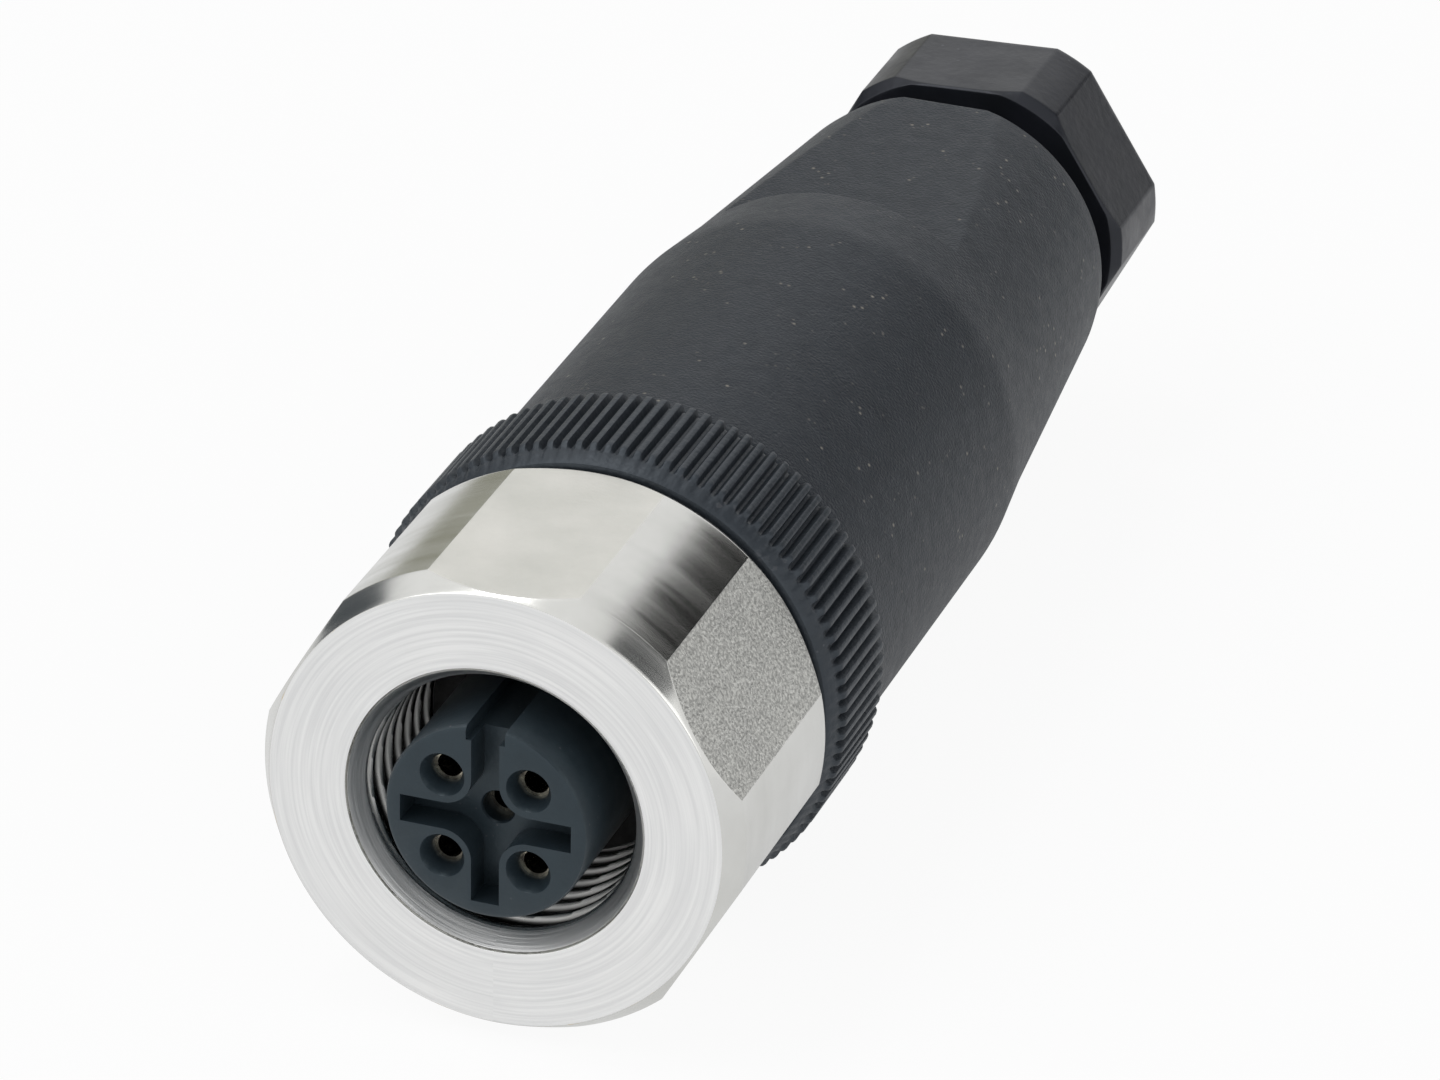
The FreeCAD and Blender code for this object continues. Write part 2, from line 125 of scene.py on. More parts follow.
# Coupling thread: it fades in over 0.3 from its start, and out over 0.7 to 0.5 before the lip
THREAD_MINOR = 5.45
THREAD_MAJOR = 6.06
THREAD_PITCH = 1.0
THREAD_START = 0.75
THREAD_ROW = 0.05
MOUTH_FINISH_END = 0.82

# Contact carrier. The outer holes' stations are radii and depths below the face, and the flare says how
# much wider each hole's cutter is before the face, and where it starts.
CARRIER_FACE = -0.9
CARRIER_RADIUS = 4.15
CARRIER_BEVEL = 0.22
CARRIER_END = 16.0
CARRIER_EDGE = 0.035
PIN_CIRCLE = 2.5
HOLE_STATIONS = ((0.92, 0.0), (0.66, 0.45), (0.66, 0.9), (0.8, 0.9), (0.8, 17.0))
HOLE_FLARE = (0.6, -0.55)
THROAT_RADIUS = 0.66
SOCKET_RADIUS = 0.8
CENTRE_SOCKET_START = 1.4
RECESS_DEPTH = 1.4
SLOT_WIDTH = 1.15
SLOT_REACH = 3.5
KEY_WIDTH = 1.6
KEY_FLOOR = 3.5
KEY_LENGTH = 7.0

# Grip ring: a collar with teeth, and behind it a spigot with a seal groove and a thread
RING_FRONT = 11.3
RING_BEVEL_END = 11.75
TEETH_FADE = 11.98
TEETH_START = 12.2
TEETH_END = 16.72
RING_REAR = 17.1
RING_FRONT_RADIUS = 9.5
RING_REAR_RADIUS = 9.3
RING_RADIUS = 10.05
RING_BORE = 4.92
RING_WEB = 13.0
TEETH = 102
TOOTH_SAMPLES = 10
TOOTH_DEPTH = 0.34
STEM_BORE = 5.6
SPIGOT_FRONT = 13.05
SPIGOT_LAND = 17.0
SPIGOT_RADIUS = 7.6
SEAL_GROOVE = (17.75, 19.05)
SEAL_GROOVE_RADIUS = 6.42
SPIGOT_THREAD = (19.4, 22.85)
SPIGOT_THREAD_DEPTH = 0.3
SPIGOT_THREAD_PITCH = 1.0
SPIGOT_THREAD_ROW = 0.08
SPIGOT_END = 23.0

# Sleeve: (y, radius) of its outside, then (y, radius, rounding) of its bore from the rear
SLEEVE_OUTSIDE = ((17.3, 9.35), (35.6, 9.35), (39.75, 8.83), (52.8, 7.6), (53.9, 7.4))
SLEEVE_INSIDE = (
    (53.9, 5.98, 0.1), (48.2, 5.98, 0), (48.2, 5.7, 0), (39.4, 5.7, 0), (39.4, 3.4, 0), (38.2, 3.4, 0),
    (38.2, 7.68, 0),
)
SLEEVE_MOUTH = (17.3, 7.68, 0.05)
WRENCH_FLAT = 7.15
FLAT_ROWS = 26

# Pressing screw: a shank with a thread, and a hexagon. Its flat's figure is the distance from the axis.
SCREW_FRONT = 50.24
SCREW_BORE = 3.25
SCREW_MOUTH = 3.75
SHANK_RADIUS = 5.9
SHANK_END = 55.7
SHANK_THREAD = (50.7, 55.6)
SHANK_THREAD_DEPTH = 0.32
SHANK_THREAD_PITCH = 1.5
SHANK_THREAD_ROW = 0.1
HEXAGON_FRONT = 56.1
HEXAGON_REAR = 62.0
HEXAGON_FLAT = 6.9
HEXAGON_RADIUS = 7.5
HEXAGON_TURN = -2.5


# Shared helpers

def linked(name, data):
    """A new object in the scene."""
    thing = bpy.data.objects.new(name, data)
    bpy.context.scene.collection.objects.link(thing)
    return thing


def node_of(tree, kind, operation=None, **links):
    """A new shader node. Each keyword names an input, with _ for a space, and gives what feeds it."""
    node = tree.nodes.new("ShaderNode" + kind)
    if operation:
        node.operation = operation
    for name, source in links.items():
        tree.links.new(source, node.inputs[name.replace("_", " ")])
    return node


def calculated(tree, operation, first, second):
    """The result of one sum on two outputs."""
    node = tree.nodes.new("ShaderNodeMath")
    node.operation = operation
    tree.links.new(first, node.inputs[0])
    tree.links.new(second, node.inputs[1])
    return node.outputs[0]


def mixed(tree, factor, first, second):
    """A mix of two shaders."""
    node = tree.nodes.new("ShaderNodeMixShader")
    for number, source in enumerate((factor, first, second)):
        tree.links.new(source, node.inputs[number])
    return node.outputs[0]


# Camera, floor and light

def make_camera():
    """The camera of the main view, before the mating end, above it and towards +X."""
    a, e, roll = (math.radians(v) for v in (AZIMUTH, ELEVATION, ROLL))
    back = Vector((math.sin(a) * math.cos(e), -math.cos(a) * math.cos(e), math.sin(e)))
    level = Vector((math.cos(a), math.sin(a), 0))
    upright = back.cross(level)
    right = math.cos(roll) * level + math.sin(roll) * upright
    up = math.cos(roll) * upright - math.sin(roll) * level
    data = bpy.data.cameras.new("camera")
    data.lens = LENS
    data.sensor_fit = "HORIZONTAL"
    data.sensor_width = SENSOR
    data.clip_start, data.clip_end = CLIP
    camera = linked("camera", data)
    turn = Matrix((right, up, back)).transposed().to_4x4()
    camera.matrix_world = Matrix.Translation(Vector(CAMERA_PLACE) * MM) @ turn
    bpy.context.scene.camera = camera


def make_light(name, place, size, power):
    """A rectangular lamp that faces the part."""
    data = bpy.data.lights.new(name, "AREA")
    data.shape = "RECTANGLE"
    data.size, data.size_y = size
    data.energy = power
    lamp = linked(name, data)
    lamp.location = Vector(place)
    lamp.rotation_mode = "QUATERNION"
    lamp.rotation_quaternion = (Vector(LAMP_AIM) - lamp.location).to_track_quat("-Z", "Y")


def seen_directly(tree):
    """One where a ray comes straight from the camera, or from a mirror or a clear surface."""
    path = node_of(tree, "LightPath")
    first = calculated(tree, "MAXIMUM", path.outputs["Is Camera Ray"], path.outputs["Is Glossy Ray"])
    return calculated(tree, "MAXIMUM", first, path.outputs["Is Transmission Ray"])


def make_world():
    """A soft ambient light, behind a backdrop that is seen as plain white."""
    world = bpy.data.worlds.new("studio")
    bpy.context.scene.world = world
    world.use_nodes = True
    tree = world.node_tree
    tree.nodes.clear()
    ambient = node_of(tree, "Background")
    ambient.inputs["Color"].default_value = (*AMBIENT_COLOUR, 1)
    ambient.inputs["Strength"].default_value = AMBIENT
    white = node_of(tree, "Background")
    white.inputs["Color"].default_value = (1, 1, 1, 1)
    backdrop = mixed(tree, seen_directly(tree), ambient.outputs[0], white.outputs[0])
    node_of(tree, "OutputWorld", Surface=backdrop)


def empty_material(name):
    """A new material and its empty node tree."""
    material = bpy.data.materials.new(name)
    material.use_nodes = True
    material.node_tree.nodes.clear()
    return material, material.node_tree


def sheet(name, width, height, level, material):
    """A flat rectangle centred on the Z axis."""
    mesh = bpy.data.meshes.new(name)
    corners = [(-width, -height), (width, -height), (width, height), (-width, height)]
    mesh.from_pydata([(x / 2, y / 2, level) for x, y in corners], [], [(0, 1, 2, 3)])
    mesh.materials.append(material)
    return linked(name, mesh)


def make_floor():
    """A white floor that keeps the part's shadow. Part of its white is glow, seen but not lighting."""
    material, tree = empty_material("floor_white")
    matte = node_of(tree, "BsdfDiffuse")
    matte.inputs["Color"].default_value = (FLOOR_WHITE, FLOOR_WHITE, FLOOR_WHITE, 1)
    glow = node_of(tree, "Emission")
    glow.inputs["Color"].default_value = (1, 1, 1, 1)
    share = node_of(tree, "MapRange", Value=node_of(tree, "LightPath").outputs["Is Camera Ray"])
    share.inputs["To Min"].default_value = FLOOR_GLOW_MIRRORED
    share.inputs["To Max"].default_value = FLOOR_GLOW_SEEN
    glowing = calculated(tree, "MULTIPLY", seen_directly(tree), share.outputs[0])
    node_of(tree, "OutputMaterial", Surface=mixed(tree, glowing, matte.outputs[0], glow.outputs[0]))
    floor = sheet("floor", 2 * FLOOR_REACH, 2 * FLOOR_REACH, cad_box[0].z, material)


def make_flag(name, place, size, shade):
    """A grey or dark card outside the view, which shows in the metal as a darker band."""
    material, tree = empty_material(name + "_felt")
    glow = node_of(tree, "Emission")
    glow.inputs["Color"].default_value = (*shade, 1)
    node_of(tree, "OutputMaterial", Surface=glow.outputs[0])
    flag = sheet(name, *size, 0, material)
    flag.location = Vector(place)
    flag.rotation_mode = "QUATERNION"
    flag.rotation_quaternion = (Vector(FLAG_AIM) - flag.location).to_track_quat("Z", "Y")
    flag.visible_camera = False
    flag.visible_diffuse = False
    flag.visible_shadow = False


# Materials

def place_nodes(tree, turned=False, stretch=(1, 1, 1)):
    """Object coordinates, or radius, length and angle for marks that run round the axis."""
    place = node_of(tree, "TexCoord").outputs["Object"]
    if turned:
        apart = node_of(tree, "SeparateXYZ", Vector=place)
        flat = node_of(tree, "CombineXYZ", X=apart.outputs["X"], Z=apart.outputs["Z"])
        radius = node_of(tree, "VectorMath", "LENGTH", Vector=flat.outputs[0]).outputs["Value"]
        angle = calculated(tree, "ARCTAN2", apart.outputs["X"], apart.outputs["Z"])
        place = node_of(tree, "CombineXYZ", X=radius, Y=apart.outputs["Y"], Z=angle).outputs[0]
    mapping = node_of(tree, "Mapping", Vector=place)
    mapping.inputs["Scale"].default_value = stretch
    return mapping.outputs[0]


def noise(tree, vector, scale, detail=4.0, roughness=0.6):
    """A value of cloudy noise."""
    node = node_of(tree, "TexNoise", Vector=vector)
    node.inputs["Scale"].default_value = scale
    node.inputs["Detail"].default_value = detail
    node.inputs["Roughness"].default_value = roughness
    return node.outputs["Fac"]


def ramp(tree, value, low, first, high, second):
    """The first colour up to the low value, the second from the high one, and a blend between."""
    node = node_of(tree, "ValToRGB", Fac=value)
    for element, position, colour in zip(node.color_ramp.elements, (low, high), (first, second)):
        element.position = position
        element.color = (*colour, 1)
    return node.outputs["Color"]


def spread(tree, value, low, high, start=0.3, end=0.7):
    """Low where the value is at start, high where it is at end."""
    node = node_of(tree, "MapRange", Value=value)
    node.inputs["From Min"].default_value = start
    node.inputs["From Max"].default_value = end
    node.inputs["To Min"].default_value = low
    node.inputs["To Max"].default_value = high
    return node.outputs["Result"]


def blended(tree, factor, first, second):
    """A mix of two colours. The second is a plain colour or an output."""
    node = tree.nodes.new("ShaderNodeMix")
    node.data_type = "RGBA"
    tree.links.new(factor, node.inputs["Factor"])
    tree.links.new(first, node.inputs["A"])
    if isinstance(second, tuple):
        node.inputs["B"].default_value = (*second, 1)
    else:
        tree.links.new(second, node.inputs["B"])
    return node.outputs["Result"]


def with_grains(tree, colour, relief, low, high):
    """Tints the colour by the relief, dark in its pits and light on its tops."""
    share = node_of(tree, "Value")
    share.outputs[0].default_value = GRAIN_SHARE
    return blended(tree, share.outputs[0], colour, ramp(tree, relief, 0.35, low, 0.65, high))


def with_painted_groove_shade(tree, colour, start, end, shade):
    """Paints shade into the grooves of the nut's thread: darker by their radius, behind the chamfer of
    its mouth.
    """
    apart = node_of(tree, "SeparateXYZ", Vector=place_nodes(tree, True))
    depth = spread(tree, apart.outputs["X"], 0, 1, start * MM, end * MM)
    behind = spread(tree, apart.outputs["Y"], 0, 1, 0.8 * MM, 1.0 * MM)
    return blended(tree, calculated(tree, "MULTIPLY", depth, behind), colour, shade)


def with_specks(tree, colour, plain, scale, size, shade):
    """Adds small light specks, in scattered groups."""
    flecks = node_of(tree, "TexVoronoi", Vector=plain)
    flecks.inputs["Scale"].default_value = scale
    near = spread(tree, flecks.outputs["Distance"], 1, 0, 0.0, size)
    rare = spread(tree, noise(tree, plain, scale * 0.31, 2), 0, 1, 0.55, 0.63)
    return blended(tree, calculated(tree, "MULTIPLY", near, rare), colour, shade)


def with_wear(tree, colour, plain, start, shade):
    """Adds broken wear along the edges that stand out."""
    edge = spread(tree, node_of(tree, "NewGeometry").outputs["Pointiness"], 0, 1, start, start + 0.06)
    broken = spread(tree, noise(tree, plain, 1500, 4), 0, 0.8, 0.4, 0.6)
    return blended(tree, calculated(tree, "MULTIPLY", edge, broken), colour, shade)


def surface(name, dark, light, rough, patch, grain, height, metal=0.0, stretch=None, fine=None,
            painted_groove_shade=None, specks=None, wear=None, wear_from=0.53, specular=0.5, painted_cool_tint=(1, 1, 1)):
    """A finish with patchy colour, uneven gloss, a fine relief, worn edges and a few light specks; it can
    also take painted shade in a thread's grooves and a painted cool tint in its reflections.

    patch and grain are noise scales, and height is the relief's in millimetres. A stretch makes it a
    turned finish, whose marks run round the axis.
    """
    material = bpy.data.materials.new(name)
    material.use_nodes = True
    tree = material.node_tree
    shader = tree.nodes["Principled BSDF"]
    shader.inputs["Metallic"].default_value = metal
    shader.inputs["Specular IOR Level"].default_value = specular
    # The specular tint paints a cool blue cast into the reflections, in place of a cool light.
    shader.inputs["Specular Tint"].default_value = (*painted_cool_tint, 1)
    plain = place_nodes(tree)
    marks = place_nodes(tree, True, stretch) if stretch else plain
    relief = noise(tree, marks, grain, 2, 0.5)
    colour = ramp(tree, noise(tree, plain, patch, 5), 0.3, dark, 0.7, light)
    if fine:
        colour = with_grains(tree, colour, relief, *fine)
    # Painted shade: a thread's grooves are darkened by their radius.
    if painted_groove_shade:
        colour = with_painted_groove_shade(tree, colour, *painted_groove_shade)
    if specks:
        colour = with_specks(tree, colour, plain, *specks)
    if wear:
        colour = with_wear(tree, colour, plain, wear_from, wear)
    tree.links.new(colour, shader.inputs["Base Color"])
    uneven = noise(tree, marks, 0.3, 4) if stretch else noise(tree, plain, patch * 2.3, 4)
    tree.links.new(spread(tree, uneven, *rough), shader.inputs["Roughness"])
    bump = node_of(tree, "Bump", Height=relief)
    bump.inputs["Strength"].default_value = 1.0
    bump.inputs["Distance"].default_value = height * MM
    tree.links.new(bump.outputs[0], shader.inputs["Normal"])
    return material


def make_metals():
    """Finishes of the nut, the bush, the contacts and the steel pieces. Turned ones have a stretch."""
    nickel = (0.6, 0.6, 0.575), (0.7, 0.7, 0.68)
    brass = (0.62, 0.47, 0.22)
    return {
        "nut_face": surface(
            "nut_face_turned", (0.76, 0.77, 0.77), (0.84, 0.84, 0.83), (0.36, 0.5), 150, 1.0, 0.012,
            metal=1.0, stretch=(7500, 7500, 1.3), fine=((0.73, 0.73, 0.73), (0.9, 0.9, 0.89))),
        "nut_round": surface(
            "nut_round_turned", *nickel, (0.16, 0.27), 200, 1.0, 0.0015,
            metal=1.0, stretch=(3500, 3500, 0.7), wear=brass, wear_from=0.56),
        "nut_flat": surface(
            "nut_flat_blasted", (0.5, 0.5, 0.48), (0.6, 0.6, 0.57), (0.38, 0.52), 500, 7500, 0.035,
            metal=1.0, fine=((0.28, 0.28, 0.27), (0.82, 0.82, 0.78))),
        "nut_flat_smooth": surface(
            "nut_flat_milled", (0.6, 0.6, 0.56), (0.72, 0.71, 0.67), (0.34, 0.46), 220, 5200, 0.012,
            metal=1.0),
        # The thread's grooves take painted shade, darkened by their radius behind the mouth's chamfer.
        "nut_bore": surface(
            "nut_thread", (0.5, 0.5, 0.49), (0.66, 0.66, 0.64), (0.22, 0.34), 600, 1.0, 0.001,
            metal=1.0, stretch=(2500, 2500, 1.0), painted_groove_shade=(5.5, 5.75, (0.03, 0.03, 0.03))),
        "steel": surface(
            "terminal_steel", (0.45, 0.45, 0.46), (0.6, 0.6, 0.61), (0.25, 0.4), 700, 1.0, 0.003,
            metal=1.0, stretch=(3000, 3000, 1.0), wear=(0.75, 0.75, 0.76)),
        "bush": surface(
            "bush_nickel", *nickel, (0.28, 0.4), 300, 1.0, 0.003,
            metal=1.0, stretch=(3000, 3000, 0.6), wear=brass),
        # Painted shade: the contacts' metal is darkened far below gold's own colour, so that the holes
        # they sit deep in look dark.
        "painted_shade_gold": surface(
            "contact_gold", (0.13, 0.12, 0.1), (0.22, 0.2, 0.17), (0.22, 0.34), 900, 1.0, 0.002,
            metal=1.0, stretch=(4000, 4000, 1.0), wear=(0.75, 0.7, 0.55)),
    }


def make_plastics():
    """Finishes of the plastic and rubber pieces."""
    dusty = (0.1, 0.1, 0.11)
    return {
        # The black plastics' reflections take a painted cool blue tint.
        "insert": surface(
            "insert_plastic", (0.0165, 0.0245, 0.031), (0.021, 0.032, 0.04), (0.3, 0.4), 900, 5000, 0.008,
            specks=(2600, 0.16, (0.09, 0.09, 0.1)), painted_cool_tint=(0.78, 0.92, 1.0)),
        "ring": surface(
            "ring_plastic", (0.017, 0.021, 0.026), (0.024, 0.029, 0.036), (0.4, 0.5), 700, 4200, 0.03,
            specks=(2100, 0.15, dusty), wear=(0.06, 0.063, 0.07), wear_from=0.54,
            painted_cool_tint=(0.82, 0.91, 1.0)),
        "sleeve": surface(
            "sleeve_plastic", (0.011, 0.0135, 0.018), (0.0155, 0.019, 0.0245), (0.44, 0.54), 700, 8200,
            0.055, specks=(2100, 0.22, (0.34, 0.31, 0.26)), wear=(0.06, 0.063, 0.068), specular=0.36,
            painted_cool_tint=(0.82, 0.91, 1.0)),
        "screw": surface(
            "screw_plastic", (0.008, 0.009, 0.011), (0.012, 0.013, 0.018), (0.3, 0.42), 300, 2600, 0.01,
            specks=(1300, 0.13, dusty), wear=(0.06, 0.062, 0.07), specular=0.4, painted_cool_tint=(0.86, 0.9, 1.0)),
        "seal": surface(
            "seal_rubber", (0.012, 0.012, 0.012), (0.02, 0.02, 0.02), (0.5, 0.65), 500, 5000, 0.006,
            wear=(0.05, 0.05, 0.05)),
        "cage": surface(
            "cage_plastic", (0.1, 0.1, 0.1), (0.14, 0.14, 0.14), (0.4, 0.55), 500, 5000, 0.006,
            wear=(0.2, 0.2, 0.2)),
    }


# Turned shapes

def rounded(corners, steps=3):
    """Points of a closed outline through (y, r, rounding) corners. One with no rounding stays a point."""
    points = []
    for index, (y, r, size) in enumerate(corners):
        here = np.array((y, r))
        if size <= 0:
            points.append(here)
            continue
        before = np.array(corners[index - 1][:2]) - here
        after = np.array(corners[(index + 1) % len(corners)][:2]) - here
        one, two = np.linalg.norm(before), np.linalg.norm(after)
        size = min(size, 0.42 * one, 0.42 * two)
        start, end = here + before / one * size, here + after / two * size
        points.append(here + before / one * min(size + SUPPORT, 0.48 * one))
        for step in range(steps + 1):
            t = step / steps
            points.append((1 - t) ** 2 * start + 2 * t * (1 - t) * here + t * t * end)
        points.append(here + after / two * min(size + SUPPORT, 0.48 * two))
    return points


def evenly(count):
    """Evenly spaced angles of a whole turn."""
    return [360 * k / count for k in range(count)]


def angles_with(count, edges, near):
    """Evenly spaced angles, with close ones at each edge, so that the edge is crisp."""
    edges = [e % 360 for e in edges]
    kept = [a for a in evenly(count) if all(abs((a - e + 180) % 360 - 180) > near * 1.6 for e in edges)]
    return sorted(kept + [(e + d) % 360 for e in edges for d in (-near, 0, near)])


def flat_edges(flat, radius, first=0.0):
    """Half the angle of a hexagon's flat on a round body, and the angles of the flats' edges."""
    half = math.degrees(math.acos(flat / radius))
    return half, [first + 60 * k + side * half for k in range(6) for side in (-1, 1)]


def lathe(name, outline_at, angles, paint, materials):
    """A closed piece round the Y axis. paint(y, r, angle, normal) gives a face's material number."""
    rings = [outline_at(a) for a in angles]
    count = len(rings[0])
    points = []
    for angle, ring in zip(angles, rings):
        s, c = math.sin(math.radians(angle)), math.cos(math.radians(angle))
        points += [(r * s * MM, y * MM, r * c * MM) for y, r in ring]
    faces = []
    for i in range(len(angles)):
        j = (i + 1) % len(angles)
        for k in range(count):
            m = (k + 1) % count
            faces.append((i * count + k, i * count + m, j * count + m, j * count + k))
    mesh = bpy.data.meshes.new(name)
    mesh.from_pydata(points, [], faces)
    return finished(name, mesh, paint, materials)


def finished(name, mesh, paint, materials, sharp=32):
    """A piece of the mesh, once points are merged, faces turned outwards and painted, and edges marked.

    An edge that turns by more than the sharp angle, in degrees, is shaded as a crisp one.
    """
    work = bmesh.new()
    work.from_mesh(mesh)
    bmesh.ops.remove_doubles(work, verts=work.verts, dist=MERGED * MM)
    bmesh.ops.dissolve_degenerate(work, edges=work.edges, dist=MERGED * MM)
    bmesh.ops.recalc_face_normals(work, faces=work.faces)
    for face in work.faces:
        face.smooth = True
        if paint:
            centre = face.calc_center_median() / MM
            radius = math.hypot(centre.x, centre.z)
            angle = math.degrees(math.atan2(centre.x, centre.z))
            face.material_index = paint(centre.y, radius, angle, face.normal)
    for edge in work.edges:
        if len(edge.link_faces) == 2:
            edge.smooth = edge.calc_face_angle(0) < math.radians(sharp)
    work.to_mesh(mesh)
    work.free()
    for material in materials:
        mesh.materials.append(material)
    return linked(name, mesh)


def flat_limit(angle, flat, first=0.0):
    """How far out a section with six flat sides reaches at this angle."""
    off = (angle - first + 30) % 60 - 30
    return flat / math.cos(math.radians(off))


def thread_depth(angle, y, pitch):
    """From 0 on a thread's crest to 1 in its groove, for a right-hand thread."""
    phase = (y / pitch - angle / 360) % 1
    rise = min(max((abs(2 * phase - 1) - 0.16) / 0.7, 0), 1)
    return rise * rise * (3 - 2 * rise)


def fading(y, start, rise, end, fall):
    """A thread's share of its depth: it rises from the start on, and falls up to the end."""
    return min(1, max(0, (end - y) / fall), max(0, (y - start) / rise))


def make_nut(materials):
    """The coupling nut: a turned body with six milled flats, a chamfered mouth and an inner thread."""
    half, edges = flat_edges(NUT_FLAT, NUT_RADIUS)
    rows = [LIP_START - THREAD_ROW * k for k in range(int(LIP_START / THREAD_ROW) + 1)]

    def bore(angle, y):
        groove = (THREAD_MAJOR - THREAD_MINOR) * thread_depth(angle, y, THREAD_PITCH)
        shown = fading(y, THREAD_START, 0.3, LIP_START - 0.5, 0.7)
        mouth = NUT_MOUTH_RADIUS - (NUT_MOUTH_RADIUS - THREAD_MINOR) * y / NUT_MOUTH_DEPTH
        return max(THREAD_MINOR + groove * shown, mouth)

    def outline_at(angle):
        reach = min(NUT_RADIUS, flat_limit(angle, NUT_FLAT))
        bevel = NUT_BEVEL * (reach - NUT_FACE_RADIUS) / (NUT_RADIUS - NUT_FACE_RADIUS)
        corners = [
            (0, NUT_MOUTH_RADIUS + 0.04, 0.03),
            (0, NUT_FACE_RADIUS, 0.05),
            (bevel, reach, 0.04),
            (NUT_LENGTH - bevel, reach, 0.05),
            (NUT_LENGTH, NUT_FACE_RADIUS, 0.06),
            (NUT_LENGTH, LIP_RADIUS, 0.05),
            (LIP_START, LIP_RADIUS, 0.05),
        ]
        return rounded(corners) + [np.array((y, bore(angle, y))) for y in rows if y > 0.02]

    names = ("nut_face", "nut_round", "nut_flat", "nut_flat_smooth", "nut_bore")
    face, turned, flat, smooth_flat, thread = range(len(names))

    def paint(y, radius, angle, normal):
        """The upper flat is smooth and the others are blasted."""
        if radius < NUT_MOUTH_RADIUS + 0.02:
            return face if y < MOUTH_FINISH_END else thread
        if abs(normal.y) > 0.9:
            return face
        if abs(normal.y) > 0.2 or abs((angle + 30) % 60 - 30) > half:
            return turned
        return smooth_flat if abs(angle) < 30 else flat

    angles = angles_with(NUT_STEPS, edges, 0.35)
    piece = lathe("coupling_nut_turned", outline_at, angles, paint, [materials[n] for n in names])
    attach(piece, "coupling_nut")
    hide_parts("coupling_nut")


def make_collar(materials):
    """The knurled collar: rounded teeth that run out into a smooth front edge."""

    def outline_at(angle):
        wave = 0.5 - 0.5 * math.cos(math.radians(angle * TEETH))
        groove = TOOTH_DEPTH * min(1, max(0, (wave - 0.3) / 0.62))
        root = RING_RADIUS - groove
        return rounded([
            (RING_FRONT, RING_BORE, 0.05),
            (RING_FRONT, RING_FRONT_RADIUS, 0.12),
            (RING_BEVEL_END, RING_RADIUS - 0.3 - groove * 0.1, 0.12),
            (TEETH_FADE, RING_RADIUS - 0.22 - groove * 0.15, 0.08),
            (TEETH_START, root, 0.1),
            (TEETH_END, root, 0.1),
            (RING_REAR, root - 0.3, 0.06),
            (RING_REAR, RING_REAR_RADIUS, 0),
            (RING_REAR, SPIGOT_RADIUS - 0.4, 0),
            (RING_WEB, STEM_BORE + 0.5, 0),
            (RING_WEB, RING_BORE, 0.05),
        ], 2)

    piece = lathe("grip_collar", outline_at, evenly(TEETH * TOOTH_SAMPLES), None, [materials["ring"]])
    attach(piece, "carrier")
    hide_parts("grip_ring")


def make_spigot(materials):
    """The threaded spigot behind the collar, with its seal groove."""
    start, end = SPIGOT_THREAD
    rows = [start + SPIGOT_THREAD_ROW * k for k in range(43)]
    front, rear = SEAL_GROOVE

    def crest(angle, y):
        share = fading(y, start, 0.5, end, 0.3) * (1 - thread_depth(angle, y, SPIGOT_THREAD_PITCH))
        return SPIGOT_RADIUS - SPIGOT_THREAD_DEPTH * share

    def outline_at(angle):
        before = rounded([
            (SPIGOT_FRONT, STEM_BORE, 0.05),
            (SPIGOT_FRONT, SPIGOT_RADIUS - 0.5, 0.1),
            (SPIGOT_LAND, SPIGOT_RADIUS, 0.1),
            (front, SPIGOT_RADIUS, 0.06),
            (front, SEAL_GROOVE_RADIUS, 0.06),
            (rear, SEAL_GROOVE_RADIUS, 0.06),
            (rear, SPIGOT_RADIUS, 0.06),
        ])
        thread = [np.array((y, crest(angle, y))) for y in rows]
        after = rounded([
            (end, SPIGOT_RADIUS, 0),
            (SPIGOT_END, SPIGOT_RADIUS - 0.15, 0),
            (SPIGOT_END, STEM_BORE, 0),
        ])
        return before + thread + after

    piece = lathe("spigot", outline_at, evenly(SPIGOT_STEPS), None, [materials["ring"]])
    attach(piece, "carrier")


def make_sleeve(materials):
    """The sleeve: round at the front, then tapered, with a wrench flat above and below."""
    front, shoulder, taper, land, rear = (y for y, _ in SLEEVE_OUTSIDE)
    radius_at = lambda y: float(np.interp(y, *zip(*SLEEVE_OUTSIDE)))
    widest = math.degrees(math.acos(WRENCH_FLAT / radius_at(taper)))
    stations = [taper + 0.05 + (land - taper - 0.05) * k / FLAT_ROWS for k in range(FLAT_ROWS)]
    edges = [side + turn for turn in (0, 180) for side in (-widest, widest)]

    def outline_at(angle):
        off = (angle + 90) % 180 - 90
        flat = WRENCH_FLAT / max(0.2, math.cos(math.radians(off)))
        corners = [
            SLEEVE_MOUTH,
            (front, radius_at(front), 0.15),
            (shoulder, radius_at(shoulder), 0.6),
            (taper - 0.02, radius_at(taper), 0.12),
            (taper + 0.02, min(radius_at(taper), flat), 0),
        ]
        corners += [(y, min(radius_at(y), flat), 0) for y in stations]
        corners += [(land, min(radius_at(land), flat), 0.12), (rear, min(radius_at(rear), flat), 0.16)]
        return rounded(corners + list(SLEEVE_INSIDE), 4)

    angles = angles_with(SLEEVE_STEPS, edges, 0.25)
    piece = lathe("sleeve_shell", outline_at, angles, None, [materials["sleeve"]])
    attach(piece, "sleeve")
    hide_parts("sleeve")


